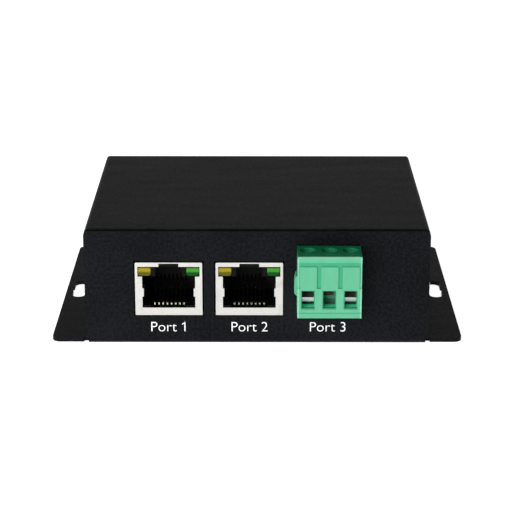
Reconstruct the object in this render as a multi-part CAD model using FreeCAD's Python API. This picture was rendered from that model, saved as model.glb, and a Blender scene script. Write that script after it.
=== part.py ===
import FreeCAD, Part
import math
import os

# Power splitter for a network cable, in a folded steel case with two mounting ears.
# Lengths are millimetres. X runs to the right, Y to the back and Z up.
# The origin is the middle of the base plate's underside. The sockets face minus Y.

# Case
sheet = 1.0
case_width = 83.5
case_height = 29.2
base_depth = 74.2
rear_tail = 5.0
ear_width = 8.5
ear_corner_r = 2.0
base_bend_r = 0.4
cover_bend_r = 0.5
cover_gap = 0.15
corner_slit = 0.3
panel_drop = 0.4
panel_corner_r = 1.2
relief_width = 0.6
relief_run = 0.8

# Slot with a round middle in each ear, for hanging the case on two screws
slot_length = 12.7
slot_width = 3.3
slot_eye_r = 2.4
slot_edge_distance = 3.45

# Lugs bent up from the base plate, and the screws that hold the cover to them
lug_width = 9.0
lug_gap = 0.35
lug_bend_r = 0.3
lug_relief = 0.5
lug_hole_rise = 2.3
lug_tip = 2.8
lug_front_inset = 15.5
lug_rear_inset = 15.1
thread_gap = 0.05
screw_r = 1.5
screw_head_r = 2.75
screw_head_height = 1.6
screw_head_crown = 0.9
screw_crown_r = 1.9
cross_width = 0.8
cross_span = 3.2
cross_depth = 0.9
cover_screw_length = 4.0
hole_gap = 0.15

# Circuit board and what carries it
film_thickness = 0.25
film_inset = 2.2
standoff_height = 5.0
standoff_r = 2.1
shank_r = 2.6
shank_gap = 0.02
shank_lift = 0.1
standoff_inset_x = 3.8
standoff_inset_y = 3.9
standoff_jack_gap = 1.25
board_thickness = 1.6
board_side_gap = 2.2
board_front_gap = 0.5
board_rear_gap = 1.2
board_corner_r = 1.0
board_screw_length = 4.6

# Network sockets
jack_width = 16.25
jack_height = 13.4
jack_depth = 21.3
jack_proud = 0.3
jack_in_share = -0.2557
jack_spacing = 19.5
shield_sheet = 0.25
jack_corner_r = 0.3
cutout_gap = 0.35
mouth_cheek = 1.725
mouth_bottom = 1.9
mouth_brow = 1.05
led_mouth_cheek = 0.625
led_mouth_height = 2.5
latch_notch_width = 4.8
finger_height = 2.1
finger_bottom = 4.75
finger_reach = 0.35
finger_run = 4.0
insert_gap = 0.03
plug_bay_gap = 0.05
plug_bay_bottom = 2.4
plug_bay_rear = 8.3
latch_bay_width = 6.4
latch_bay_depth = 9.0
led_width = 3.1
led_height = 2.3
led_depth = 8.0
led_corner_r = 0.55
led_edge = 0.2
led_side_gap = 0.1
led_set_back = 0.15
led_fit = 0.05
contact_count = 8
contact_pitch = 1.02
contact_width = 0.35
contact_thickness = 0.3
contact_loop_r = 0.5
contact_loop_y = 3.0
contact_loop_flats = 4
contact_loop_room = 0.3
contact_lower_z = 1.45
contact_tip_run = 0.4
contact_tip_z = 5.2
contact_slab = 0.45
contact_exit_rear = 4.8
contact_row_step = 2.5
solder_tail = 1.2
comb_slot_width = 0.62
comb_slot_depth = 1.2
comb_bottom = 2.9
comb_drop = 3.55
peg_r = 1.6
peg_inset = 2.425
peg_y = 9.0
peg_seat = 0.5
peg_gap = 0.05
pin_hole_r = 0.45

# Three-pole plug with screw clamps
pole_pitch = 5.08
pole_count = 3
plug_spacing = 19.1
plug_bottom = 2.4
plug_height = 15.3
plug_reach = 9.0
plug_back_gap = 0.3
plug_bevel = 0.3
band_top = 1.4
band_bottom = 2.3
face_relief = 0.3
panel_relief_top = 2.5
channel_bottom = 7.4
channel_width = 1.0
side_margin = 0.55
foot_groove_bottom = 1.1
foot_groove_height = 0.35
wire_hole_width = 3.0
wire_hole_height = 4.35
wire_hole_bottom = 2.4
wire_hole_flare = 0.25
clamp_axis_back = 5.4
well_r = 1.9
well_depth = 2.3
top_pocket_width = 2.9
top_pocket_run = 0.7
top_pocket_depth = 0.8
top_pocket_back = 1.5
rib_reach = 0.7
rib_top_reach = 0.4
rib_run = 4.0
rib_front = 2.2
rib_bottom = 4.7
rib_height = 5.1
rib_taper = 1.6
rib_foot = 0.8
nose_wall = 0.42
nose_bottom = 1.0
nose_height = 7.0
nose_length = 7.8
nose_bevel = 0.5

# Clamp screws, clamp cages and contact springs inside the plug
clamp_thread_r = 1.25
clamp_running_gap = 0.05
clamp_head_r = 1.75
clamp_head_height = 1.4
clamp_slot_width = 0.6
clamp_slot_depth = 0.7
shoulder_thickness = 0.7
shoulder_gap = 0.05
cage_width = 4.0
cage_run = 3.6
cage_wall = 0.45
cage_bar = 1.0
cage_head = 1.2
cage_corner_r = 0.5
cage_pocket_gap = 0.15
cage_rest_rise = (1.6, 0.0, 1.6)
strip_width = 2.4
strip_thickness = 0.7
strip_above_hole = 0.05
strip_front_gap = 0.2
strip_drop_run = 0.7
leaf_thickness = 0.6
leaf_end_gap = 0.4
leaf_flare = 0.25
spring_pocket_gap = 0.1

# Header that the plug pushes into
header_wall = 0.75
header_back_wall = 1.2
header_fit = 0.1
header_cut_gap = 0.25
header_core_front = 3.0
pin_size = 1.0
pin_point = 0.3
pin_gap = 0.05
pin_above_board = 6.9
pin_tip_back = 1.5
pin_drop_back = 10.7
pin_drop_hole_r = 0.85

# Chips on the board, with bent leads on their long sides
part_gap = 1.5
part_lift = 0.1
lead_width = 0.45
lead_thickness = 0.25
lead_pitch = 1.27
lead_reach = 1.3
lead_root = 0.3
lead_knee_share = 0.4
chip_edge_share = 0.12
magnetics_size = (12.7, 7.4, 5.8)
magnetics_lead_count = 8
rectifier_size = (8.3, 6.4, 3.3)
rectifier_lead_count = 2
rectifier_lead_pitch = 5.08
rectifier_spacing = 10.4
controller_size = (10.3, 7.5, 2.4)
controller_lead_count = 8
controller_share = -0.62

# Capacitors and choke on the board, with their clearances below the cover
can_edge = 0.5
input_can_r = 5.0
input_can_clearance = 4.2
input_can_share = -0.384
output_can_r = 4.0
output_can_clearance = 8.2
output_can_spacing = 9.2
output_can_share = 0.47
can_row_inset = 5.2
choke_r = 5.5
choke_height = 7.5
choke_flange = 1.2
choke_waist = 0.7
choke_foot = 0.7
choke_share = 0.5
choke_step = 2.0

# Transformer
transformer_x = 0.0
transformer_inset = 15.3
transformer_length = 17.0
transformer_clearance = 5.7
core_depth = 5.0
core_leg = 3.2
centre_leg = 4.6
core_gap = 0.1
bobbin_flange = 0.9
bobbin_overhang = 2.6
bobbin_foot = 1.4
winding_inset = 0.4
winding_corner_r = 1.2
bobbin_pin_size = 0.6
bobbin_pin_inset = 0.8
bobbin_pin_hole_r = 0.55
bobbin_pin_pitch = 2.5
bobbin_pin_count = 4

# Places that follow from the sizes above
panel_y = -base_depth / 2
rear_y = base_depth / 2
cover_front_y = panel_y + sheet + cover_gap
cover_rear_y = rear_y - rear_tail
half_case = case_width / 2
board_bottom = sheet + standoff_height
board_top = board_bottom + board_thickness
board_half = half_case - sheet - board_side_gap
board_front_y = panel_y + sheet + board_front_gap
board_rear_y = cover_rear_y - sheet - board_rear_gap
room_above_board = case_height - sheet - board_top
panel_top = case_height - panel_drop
lug_hole_z = board_top + lug_hole_rise
lug_height = lug_hole_z + lug_tip
lug_ys = (panel_y + lug_front_inset, cover_rear_y - lug_rear_inset)
jack_front_y = panel_y - jack_proud
jack_rear_y = jack_front_y + jack_depth
jack_in_x = jack_in_share * case_width
jack_out_x = jack_in_x + jack_spacing
mouth_width = jack_width - 2 * mouth_cheek
mouth_top = jack_height - mouth_brow
led_mouth_width = jack_width - 2 * led_mouth_cheek
led_mouth_bottom = mouth_top - led_mouth_height
plug_bay_width = mouth_width - 2 * plug_bay_gap
plug_bay_depth = jack_depth - plug_bay_rear
contact_tip_y = plug_bay_depth + contact_tip_run
contact_exit_y = jack_depth - contact_exit_rear
comb_top = led_mouth_bottom - comb_drop
peg_spacing = jack_width - 2 * peg_inset
slab_top = contact_lower_z + contact_loop_r * 2 - contact_thickness / 2
plug_centre_x = jack_out_x + plug_spacing
nose_width = pole_pitch * (pole_count - 1) + strip_width + 2 * nose_wall
header_width = nose_width + 2 * (header_fit + header_wall)
standoff_front_y = jack_rear_y + standoff_jack_gap + screw_head_r
rectifier_y = panel_y + pin_drop_back + part_gap + rectifier_size[1] / 2 + lead_reach
magnetics_y = jack_rear_y + part_gap + magnetics_size[1] / 2 + lead_reach
transformer_y = board_rear_y - transformer_inset
transformer_height = room_above_board - transformer_clearance
can_row_y = board_rear_y - can_row_inset
choke_y = transformer_y - choke_step
plug_z = board_top + plug_bottom
plug_front_y = panel_y - plug_reach
clamp_y = plug_front_y + clamp_axis_back
plug_top = plug_z + plug_height
plug_width = pole_pitch * pole_count
pole_xs = [plug_centre_x + pole_pitch * (i - (pole_count - 1) / 2) for i in range(pole_count)]
hole_floor = plug_z + wire_hole_bottom
hole_roof = hole_floor + wire_hole_height
strip_bottom = hole_roof + strip_above_hole
strip_top = strip_bottom + strip_thickness
pin_z = board_top + pin_above_board

parts = {}


def vec(x, y, z):
    return FreeCAD.Vector(x, y, z)


def box(xs, ys, zs):
    """A block from pairs of low and high values."""
    size = [high - low for low, high in (xs, ys, zs)]
    return Part.makeBox(size[0], size[1], size[2], vec(xs[0], ys[0], zs[0]))


def post(radius, x, y, z_low, z_high):
    """An upright cylinder."""
    return Part.makeCylinder(radius, z_high - z_low, vec(x, y, z_low), vec(0, 0, 1))


def prism(sides, radius, x, y, z_low, z_high):
    """An upright prism with its corners on a circle."""
    turns = [2 * math.pi * i / sides for i in range(sides + 1)]
    corners = [vec(x + radius * math.cos(t), y + radius * math.sin(t), z_low) for t in turns]
    return Part.Face(Part.makePolygon(corners)).extrude(vec(0, 0, z_high - z_low))


def extruded(start, steps, push):
    """A flat outline pushed along a vector. A step is a point, or an arc's middle and end."""
    edges = []
    here = start
    for step in steps:
        if isinstance(step, tuple):
            edges.append(Part.Arc(here, step[0], step[1]).toShape())
            here = step[1]
        else:
            edges.append(Part.LineSegment(here, step).toShape())
            here = step
    if here.distanceToPoint(start) > 1e-6:
        edges.append(Part.LineSegment(here, start).toShape())
    return Part.Face(Part.Wire(edges)).extrude(push)


def revolved(profile):
    """A closed outline of radius and height pairs turned about Z."""
    points = [vec(radius, 0, z) for radius, z in profile]
    face = Part.Face(Part.makePolygon(points + points[:1]))
    return face.revolve(vec(0, 0, 0), vec(0, 0, 1), 360)


def arc_mid(centre, start, end):
    """The middle of the short arc from start to end about a centre."""
    radius = (start - centre).Length
    middle = (start - centre) + (end - centre)
    middle.normalize()
    return centre + middle * radius


def direction(edge):
    """The unit direction of a straight edge, or None for a curve."""
    if len(edge.Vertexes) != 2 or not isinstance(edge.Curve, Part.Line):
        return None
    run = edge.Vertexes[1].Point - edge.Vertexes[0].Point
    run.normalize()
    return run


def edges_along(shape, axis, test):
    """The straight edges along an axis whose middle passes a test."""
    found = []
    for edge in shape.Edges:
        run = direction(edge)
        if run is not None and abs(run.dot(axis)) > 0.999 and test(edge.CenterOfMass):
            found.append(edge)
    return found


def fused(shapes):
    whole = shapes[0].fuse(shapes[1:]) if len(shapes) > 1 else shapes[0]
    return whole.removeSplitter()


def turned(shape, axis, degrees):
    copy = shape.copy()
    copy.rotate(vec(0, 0, 0), axis, degrees)
    return copy


def moved(shape, x, y, z):
    copy = shape.copy()
    copy.translate(vec(x, y, z))
    return copy


def pan_screw(length):
    """A cross-head pan screw standing on z = 0, with its shank below."""
    profile = [
        (0, -length),
        (screw_r, -length),
        (screw_r, 0),
        (screw_head_r, 0),
        (screw_head_r, screw_head_height - screw_head_crown),
        (screw_crown_r, screw_head_height),
        (0, screw_head_height),
    ]
    bar = (-cross_span / 2, cross_span / 2)
    width = (-cross_width / 2, cross_width / 2)
    depth = (screw_head_height - cross_depth, screw_head_height + 1)
    return revolved(profile).cut([box(bar, width, depth), box(width, bar, depth)])


# Case

def ear_slot(x):
    """The cutter for one ear's slot: a long hole along Y with a round eye at its middle."""
    half_run = (slot_length - slot_width) / 2
    half = slot_width / 2
    centre_y = (panel_y + sheet + base_bend_r + rear_y) / 2
    left = vec(x - half, centre_y - half_run, -1)
    right = vec(x + half, centre_y - half_run, -1)
    front = vec(x, centre_y - half_run - half, -1)
    back_right = vec(x + half, centre_y + half_run, -1)
    back_left = vec(x - half, centre_y + half_run, -1)
    back = vec(x, centre_y + half_run + half, -1)
    slot = extruded(left, [(front, right), back_right, (back, back_left)], vec(0, 0, sheet + 2))
    return slot.fuse(post(slot_eye_r, x, centre_y, -1, sheet + 1))


def lug(side, y):
    """One lug bent up from the base plate, facing the cover's side wall."""
    face = half_case - sheet - lug_gap
    root = face + lug_bend_r
    outer_r = lug_bend_r + sheet
    low = y - lug_width / 2
    centre = vec(root, low, outer_r)
    start = vec(root, low, 0)
    outer_end = vec(root - outer_r, low, outer_r)
    inner_start = vec(face, low, outer_r)
    inner_end = vec(root, low, sheet)
    steps = [
        (arc_mid(centre, start, outer_end), outer_end),
        vec(face - sheet, low, lug_height),
        vec(face, low, lug_height),
        inner_start,
        (arc_mid(centre, inner_start, inner_end), inner_end),
    ]
    piece = extruded(start, steps, vec(0, lug_width, 0))
    top_edges = edges_along(piece, vec(1, 0, 0), lambda c: abs(c.z - lug_height) < 0.01)
    piece = piece.makeFillet(panel_corner_r, top_edges)
    hole_start = vec(face - sheet - 1, y, lug_hole_z)
    hole = Part.makeCylinder(screw_r + thread_gap, sheet + 2, hole_start, vec(1, 0, 0))
    piece = piece.cut(hole)
    return piece if side > 0 else piece.mirror(vec(0, 0, 0), vec(1, 0, 0))


def lug_window(side, y):
    """The opening that a lug leaves in the base plate."""
    face = half_case - sheet - lug_gap
    half = lug_width / 2 + lug_relief
    window = box((face - lug_height, face + lug_bend_r), (y - half, y + half), (-1, sheet + 1))
    return window if side > 0 else window.mirror(vec(0, 0, 0), vec(1, 0, 0))


def standoff_places():
    x = board_half - standoff_inset_x
    back = board_rear_y - standoff_inset_y
    return [(-x, standoff_front_y), (x, standoff_front_y), (-x, back), (x, back)]


def base_chassis():
    bend = base_bend_r + sheet
    low_x = -half_case
    bend_centre = vec(low_x, panel_y + bend, bend)
    outer_start = vec(low_x, panel_y + bend, 0)
    outer_end = vec(low_x, panel_y, bend)
    inner_start = vec(low_x, panel_y + sheet, bend)
    inner_end = vec(low_x, panel_y + bend, sheet)
    steps = [
        outer_start,
        (arc_mid(bend_centre, outer_start, outer_end), outer_end),
        vec(low_x, panel_y, panel_top),
        vec(low_x, panel_y + sheet, panel_top),
        inner_start,
        (arc_mid(bend_centre, inner_start, inner_end), inner_end),
        vec(low_x, rear_y, sheet),
    ]
    folded = extruded(vec(low_x, rear_y, 0), steps, vec(case_width, 0, 0))
    corners = edges_along(folded, vec(0, 1, 0), lambda c: c.z > panel_top - 0.01)
    folded = folded.makeFillet(panel_corner_r, corners)

    span = half_case + ear_width
    plate = box((-span, span), (panel_y + bend, rear_y), (0, sheet))
    plate = plate.makeFillet(ear_corner_r, edges_along(plate, vec(0, 0, 1), lambda c: True))
    body = fused([folded, plate])

    cutters = []
    for side in (-1, 1):
        notch_in = half_case - relief_width
        notch_ys = (panel_y - 1, panel_y + bend + relief_run)
        notch = box((notch_in, half_case + relief_width), notch_ys, (-1, bend))
        cutters.append(notch if side > 0 else notch.mirror(vec(0, 0, 0), vec(1, 0, 0)))
        cutters.append(ear_slot(side * (span - slot_edge_distance)))
        for y in lug_ys:
            cutters.append(lug_window(side, y))
    for x, y in standoff_places():
        cutters.append(prism(6, shank_r + shank_gap, x, y, -1, sheet + 1))
    for x in (jack_in_x, jack_out_x):
        half = jack_width / 2 + cutout_gap
        zs = (board_top - cutout_gap, board_top + jack_height + cutout_gap)
        cutters.append(box((x - half, x + half), (panel_y - 1, panel_y + sheet + 1), zs))
    cutters.append(header_block(header_cut_gap, panel_y - 1, panel_y + sheet + 1))
    body = body.cut(cutters)
    lugs = [lug(side, y) for side in (-1, 1) for y in lug_ys]
    return fused([body] + lugs)


def top_cover():
    """Top, sides and rear wall folded from one sheet, open below and in front."""
    outer_r = cover_bend_r + sheet
    outside = box((-half_case, half_case), (cover_front_y, cover_rear_y), (sheet, case_height))
    top_sides = edges_along(outside, vec(0, 1, 0), lambda c: c.z > case_height - 0.01)
    top_back = edges_along(outside, vec(1, 0, 0), lambda c: c.z > case_height - 0.01 and c.y > 0)
    outside = outside.makeFillet(outer_r, top_sides + top_back)
    inner_half = half_case - sheet
    ys = (cover_front_y - 2 * outer_r, cover_rear_y - sheet)
    inside = box((-inner_half, inner_half), ys, (-2 * outer_r, case_height - sheet))
    top_sides = edges_along(inside, vec(0, 1, 0), lambda c: c.z > case_height - sheet - 0.01)
    top_back = edges_along(inside, vec(1, 0, 0), lambda c: c.z > case_height - sheet - 0.01 and c.y > 0)
    inside = inside.makeFillet(cover_bend_r, top_sides + top_back)
    cover = outside.cut(inside)
    cutters = []
    bend_end = panel_y + sheet + base_bend_r + cover_gap
    corner_zs = (0, sheet + base_bend_r + cover_gap)
    cutters.append(box((-half_case - 1, half_case + 1), (cover_front_y - 1, bend_end), corner_zs))
    for side in (-1, 1):
        slit_y = cover_rear_y - sheet
        slit_ys = (slit_y - corner_slit, slit_y)
        slit = box((inner_half - 0.5, half_case + 1), slit_ys, (0, case_height - outer_r))
        cutters.append(slit if side > 0 else slit.mirror(vec(0, 0, 0), vec(1, 0, 0)))
        for y in lug_ys:
            start = vec(side * (inner_half - 1), y, lug_hole_z)
            cutters.append(Part.makeCylinder(screw_r + hole_gap, sheet + 2, start, vec(side, 0, 0)))
    return cover.cut(cutters)


def cover_screws():
    screws = []
    for side in (-1, 1):
        for y in lug_ys:
            screw = turned(pan_screw(cover_screw_length), vec(0, 1, 0), 90 * side)
            screws.append(moved(screw, side * half_case, y, lug_hole_z))
    return Part.makeCompound(screws)


# Board and what carries it

def insulating_sheet():
    xs = (-board_half, board_half)
    film = box(xs, (board_front_y + film_inset, board_rear_y), (sheet, sheet + film_thickness))
    holes = [post(standoff_r + hole_gap, x, y, 0, standoff_height) for x, y in standoff_places()]
    return film.cut(holes)


def board_standoffs():
    """Round spacers, each with a six-sided foot pressed into the base plate."""
    spacers = []
    for x, y in standoff_places():
        spacer = post(standoff_r, x, y, sheet, board_bottom)
        spacer = fused([spacer, prism(6, shank_r, x, y, shank_lift, sheet)])
        spacers.append(spacer.cut(post(screw_r + thread_gap, x, y, sheet, board_bottom + 1)))
    return Part.makeCompound(spacers)


def board_screws():
    screws = [moved(pan_screw(board_screw_length), x, y, board_top) for x, y in standoff_places()]
    return Part.makeCompound(screws)


def main_board():
    xs = (-board_half, board_half)
    board = box(xs, (board_front_y, board_rear_y), (board_bottom, board_top))
    board = board.makeFillet(board_corner_r, edges_along(board, vec(0, 0, 1), lambda c: True))
    low = board_bottom - 1
    high = board_top + 1
    holes = [post(screw_r + hole_gap, x, y, low, high) for x, y in standoff_places()]
    for centre in (jack_in_x, jack_out_x):
        for side in (-1, 1):
            peg_x = centre + side * peg_spacing / 2
            holes.append(post(peg_r + peg_gap, peg_x, jack_front_y + peg_y, low, high))
        for x, y in contact_exits(centre):
            holes.append(prism(6, pin_hole_r, x, y, low, high))
    for x in pole_xs:
        holes.append(prism(6, pin_drop_hole_r, x, panel_y + pin_drop_back, low, high))
    for x, y in bobbin_pin_places():
        holes.append(prism(6, bobbin_pin_hole_r, transformer_x + x, transformer_y + y, low, high))
    return board.cut(holes)


# Network sockets

def contact_exits(centre):
    """Where the eight contacts of a socket go through the board, in two staggered rows."""
    places = []
    for i in range(contact_count):
        x = centre + contact_pitch * (i - (contact_count - 1) / 2)
        places.append((x, jack_front_y + contact_exit_y + contact_row_step * (i % 2)))
    return places


def mouth_cutters(ys):
    """The opening in a shield's front wall: the plug's mouth, the lamp corners and the latch notch."""
    half = mouth_width / 2
    lamp_half = led_mouth_width / 2
    notch_half = latch_notch_width / 2
    return [
        box((-half, half), ys, (mouth_bottom, mouth_top)),
        box((-lamp_half, lamp_half), ys, (led_mouth_bottom, mouth_top)),
        box((-notch_half, notch_half), ys, (mouth_top - 1, jack_height - shield_sheet)),
    ]


def jack_shield():
    """Folded shield, open below, standing on z = 0 with its front wall at y = 0."""
    half = jack_width / 2
    outside = box((-half, half), (0, jack_depth), (0, jack_height))
    outside = outside.makeFillet(jack_corner_r, edges_along(outside, vec(0, 1, 0), lambda c: c.z > 1))
    inner = half - shield_sheet
    hollow_ys = (shield_sheet, jack_depth - shield_sheet)
    hollow = box((-inner, inner), hollow_ys, (-1, jack_height - shield_sheet))
    shell = outside.cut([hollow] + mouth_cutters((-1, shield_sheet + 0.1)))
    fingers = []
    edge = mouth_width / 2
    zs = (finger_bottom, finger_bottom + finger_height)
    for side in (-1, 1):
        xs = sorted((side * (edge - finger_reach), side * (edge + 0.1)))
        fingers.append(box(xs, (0, shield_sheet), zs))
        xs = sorted((side * (edge - finger_reach), side * (edge - finger_reach + shield_sheet)))
        fingers.append(box(xs, (0, finger_run), zs))
    return fused([shell] + fingers)


def jack_insert():
    """Moulded body of a socket: plug bay, latch bay, lamp pockets and the comb for the contacts."""
    half = jack_width / 2 - shield_sheet - insert_gap
    front = shield_sheet + insert_gap
    back = jack_depth - shield_sheet - insert_gap
    top = jack_height - shield_sheet - insert_gap
    body = box((-half, half), (front, back), (0, top))
    bay_half = plug_bay_width / 2
    latch_half = latch_bay_width / 2
    row_half = contact_pitch * contact_count / 2 + contact_width
    cutters = [
        box((-bay_half, bay_half), (0, plug_bay_depth), (plug_bay_bottom, led_mouth_bottom)),
        box((-latch_half, latch_half), (0, latch_bay_depth), (led_mouth_bottom - 1, mouth_top)),
        box((-row_half, row_half), (0, contact_loop_y + contact_loop_room), (-1, plug_bay_bottom + 1)),
        box((-row_half, row_half), (0, plug_bay_depth), (slab_top, plug_bay_bottom + 1)),
        box((-row_half, row_half), (0, back + 1), (-1, slab_top - contact_slab)),
    ]
    for side in (-1, 1):
        near = led_mouth_width / 2 - led_side_gap - led_width - led_fit
        far = led_mouth_width / 2 - led_side_gap + led_fit
        xs = sorted((side * near, side * far))
        low = led_mouth_bottom
        cutters.append(box(xs, (0, led_set_back + led_depth + led_fit), (low, mouth_top)))
    for i in range(contact_count):
        x = contact_pitch * (i - (contact_count - 1) / 2)
        xs = (x - comb_slot_width / 2, x + comb_slot_width / 2)
        ys = (plug_bay_depth - 1, plug_bay_depth + comb_slot_depth)
        cutters.append(box(xs, ys, (comb_bottom, comb_top)))
    body = body.cut(cutters)
    pegs = []
    for side in (-1, 1):
        x = side * peg_spacing / 2
        pegs.append(post(peg_r, x, peg_y, -board_thickness, peg_seat))
    return fused([body] + pegs)


def contact_wire(exit_y):
    """One contact from its solder tail, forward below the floor, round its front and up to the comb."""
    half = contact_thickness / 2
    low = contact_lower_z
    loop_z = low + contact_loop_r
    slope = math.atan2(contact_tip_z - loop_z - contact_loop_r, contact_tip_y - contact_loop_y)
    run = (contact_tip_y - contact_loop_y) / math.cos(slope)
    tail = -board_thickness - solder_tail
    turns = [(math.pi - slope) * i / contact_loop_flats for i in range(contact_loop_flats + 1)]

    def around(radius):
        return [vec(0, contact_loop_y - radius * math.sin(t), loop_z - radius * math.cos(t)) for t in turns]

    inner = around(contact_loop_r - half)
    outer = around(contact_loop_r + half)
    reach = vec(0, run * math.cos(slope), run * math.sin(slope))
    steps = [vec(0, exit_y + half, low + half)] + inner
    steps += [inner[-1] + reach, outer[-1] + reach] + outer[::-1]
    steps += [vec(0, exit_y - half, low - half), vec(0, exit_y - half, tail)]
    return extruded(vec(0, exit_y + half, tail), steps, vec(contact_width, 0, 0))


def jack_contacts():
    wires = []
    for x, y in contact_exits(0):
        wires.append(moved(contact_wire(y - jack_front_y), x - contact_width / 2, 0, 0))
    return Part.makeCompound(wires)


def jack_led(side):
    """A lamp with rounded corners, whose face stands just behind the shield's front."""
    near = led_mouth_width / 2 - led_side_gap - led_width
    far = led_mouth_width / 2 - led_side_gap
    low = (led_mouth_bottom + mouth_top - led_height) / 2
    xs = sorted((side * near, side * far))
    lamp = box(xs, (led_set_back, led_set_back + led_depth), (low, low + led_height))
    lamp = lamp.makeFillet(led_corner_r, edges_along(lamp, vec(0, 1, 0), lambda c: True))
    face = [edge for edge in lamp.Edges if abs(edge.BoundBox.YMax - led_set_back) < 0.001]
    return lamp.makeChamfer(led_edge, face)


def add_jack(name, centre):
    shapes = {
        "shield": jack_shield(),
        "insert": jack_insert(),
        "contacts": jack_contacts(),
        "led_yellow": jack_led(-1),
        "led_green": jack_led(1),
    }
    for piece, shape in shapes.items():
        parts[f"{name}_{piece}"] = moved(shape, centre, jack_front_y, board_top)


# Header and plug

def header_block(grow, y_front, y_back):
    """The header's outline around the plug's nose, grown by a gap, between two depths."""
    half = header_width / 2 + grow
    low = plug_z + nose_bottom - header_fit - header_wall - grow
    high = plug_z + nose_bottom + nose_height + header_fit + header_wall + grow
    return box((plug_centre_x - half, plug_centre_x + half), (y_front, y_back), (low, high))


def terminal_header():
    back = panel_y + plug_back_gap + nose_length + header_back_wall
    mouth = header_block(0, panel_y, back)
    half = header_width / 2
    foot_xs = (plug_centre_x - half, plug_centre_x + half)
    foot = box(foot_xs, (panel_y + sheet + header_cut_gap, back), (board_top, plug_z + nose_bottom))
    body = fused([mouth, foot])
    nose_half = nose_width / 2 + header_fit
    low = plug_z + nose_bottom - header_fit
    cavity = box(
        (plug_centre_x - nose_half, plug_centre_x + nose_half),
        (panel_y - 1, back - header_back_wall),
        (low, low + nose_height + 2 * header_fit),
    )
    cutters = [cavity]
    for x in pole_xs:
        half_pin = pin_size / 2
        ys = (back - header_back_wall - 1, back + 1)
        cutters.append(box((x - half_pin, x + half_pin), ys, (pin_z - half_pin, pin_z + half_pin)))
        core = pole_pitch / 2 - header_wall / 2
        core_top = low - header_wall
        core_ys = (panel_y + header_core_front, back - header_wall)
        cutters.append(box((x - core, x + core), core_ys, (board_top - 1, core_top)))
    return body.cut(cutters)


def header_pins():
    """Square pins that run back through the header and turn down through the board."""
    pins = []
    half = pin_size / 2
    drop_y = panel_y + pin_drop_back
    tip_y = panel_y + pin_tip_back
    for x in pole_xs:
        start = vec(x - half, tip_y, pin_z - half + pin_point)
        steps = [
            vec(x - half, tip_y, pin_z + half - pin_point),
            vec(x - half, tip_y + pin_point, pin_z + half),
            vec(x - half, drop_y - half, pin_z + half),
            (
                arc_mid(
                    vec(x - half, drop_y - half, pin_z - half),
                    vec(x - half, drop_y - half, pin_z + half),
                    vec(x - half, drop_y + half, pin_z - half),
                ),
                vec(x - half, drop_y + half, pin_z - half),
            ),
            vec(x - half, drop_y + half, board_bottom - solder_tail),
            vec(x - half, drop_y - half, board_bottom - solder_tail),
            vec(x - half, drop_y - half, pin_z - half),
            vec(x - half, tip_y + pin_point, pin_z - half),
        ]
        pins.append(extruded(start, steps, vec(pin_size, 0, 0)))
    return Part.makeCompound(pins)


def terminal_plug():
    left = plug_centre_x - plug_width / 2
    right = plug_centre_x + plug_width / 2
    front = plug_front_y
    back = panel_y - plug_back_gap
    relief = front + face_relief

    def at(y, z):
        return vec(left, y, z)

    steps = [
        at(front, plug_z + foot_groove_bottom),
        at(front + foot_groove_height / 2, plug_z + foot_groove_bottom + foot_groove_height / 2),
        at(front, plug_z + foot_groove_bottom + foot_groove_height),
        at(front, plug_top - band_bottom),
        at(relief, plug_top - band_bottom),
        at(relief, plug_top - band_top),
        at(front, plug_top - band_top),
        at(front, plug_top - plug_bevel),
        at(front + plug_bevel, plug_top),
        at(back, plug_top),
        at(back, plug_z),
    ]
    body = extruded(at(front, plug_z), steps, vec(plug_width, 0, 0))
    half_nose = nose_width / 2
    nose_end = panel_y + nose_length
    nose = box(
        (plug_centre_x - half_nose, plug_centre_x + half_nose),
        (back - 1, nose_end),
        (plug_z + nose_bottom, plug_z + nose_bottom + nose_height),
    )
    tip_edges = edges_along(nose, vec(1, 0, 0), lambda c: c.y > nose_end - 0.01)
    nose = nose.makeFillet(nose_bevel, tip_edges)
    rib_low = plug_z + rib_bottom
    rib_high = rib_low + rib_height
    rib_outline = [
        (left - rib_reach, rib_low + rib_foot),
        (left - rib_reach, rib_high - rib_taper),
        (left - rib_top_reach, rib_high),
        (left + rib_reach, rib_high),
        (left + rib_reach, rib_low),
        (left, rib_low),
    ]
    rib_points = [vec(x, front + rib_front, z) for x, z in rib_outline]
    rib = extruded(rib_points[0], rib_points[1:], vec(0, rib_run, 0))
    body = fused([body, nose, rib])

    cutters = []
    channel_top = plug_top - panel_relief_top
    edges = [left + side_margin / 2] + [x + pole_pitch / 2 for x in pole_xs[:-1]] + [right - side_margin / 2]
    for i, x in enumerate(edges):
        half = side_margin / 2 if i in (0, pole_count) else channel_width / 2
        zs = (plug_top - plug_height + channel_bottom, channel_top)
        cutters.append(box((x - half, x + half), (front - 1, relief), zs))
    strip = box((left - 1, right + 1), (front - 1, relief), (channel_top, plug_top - band_bottom))
    cutters.append(strip)
    for x in pole_xs:
        cutters.extend(pole_cutters(x))
    return body.cut(cutters)


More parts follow.
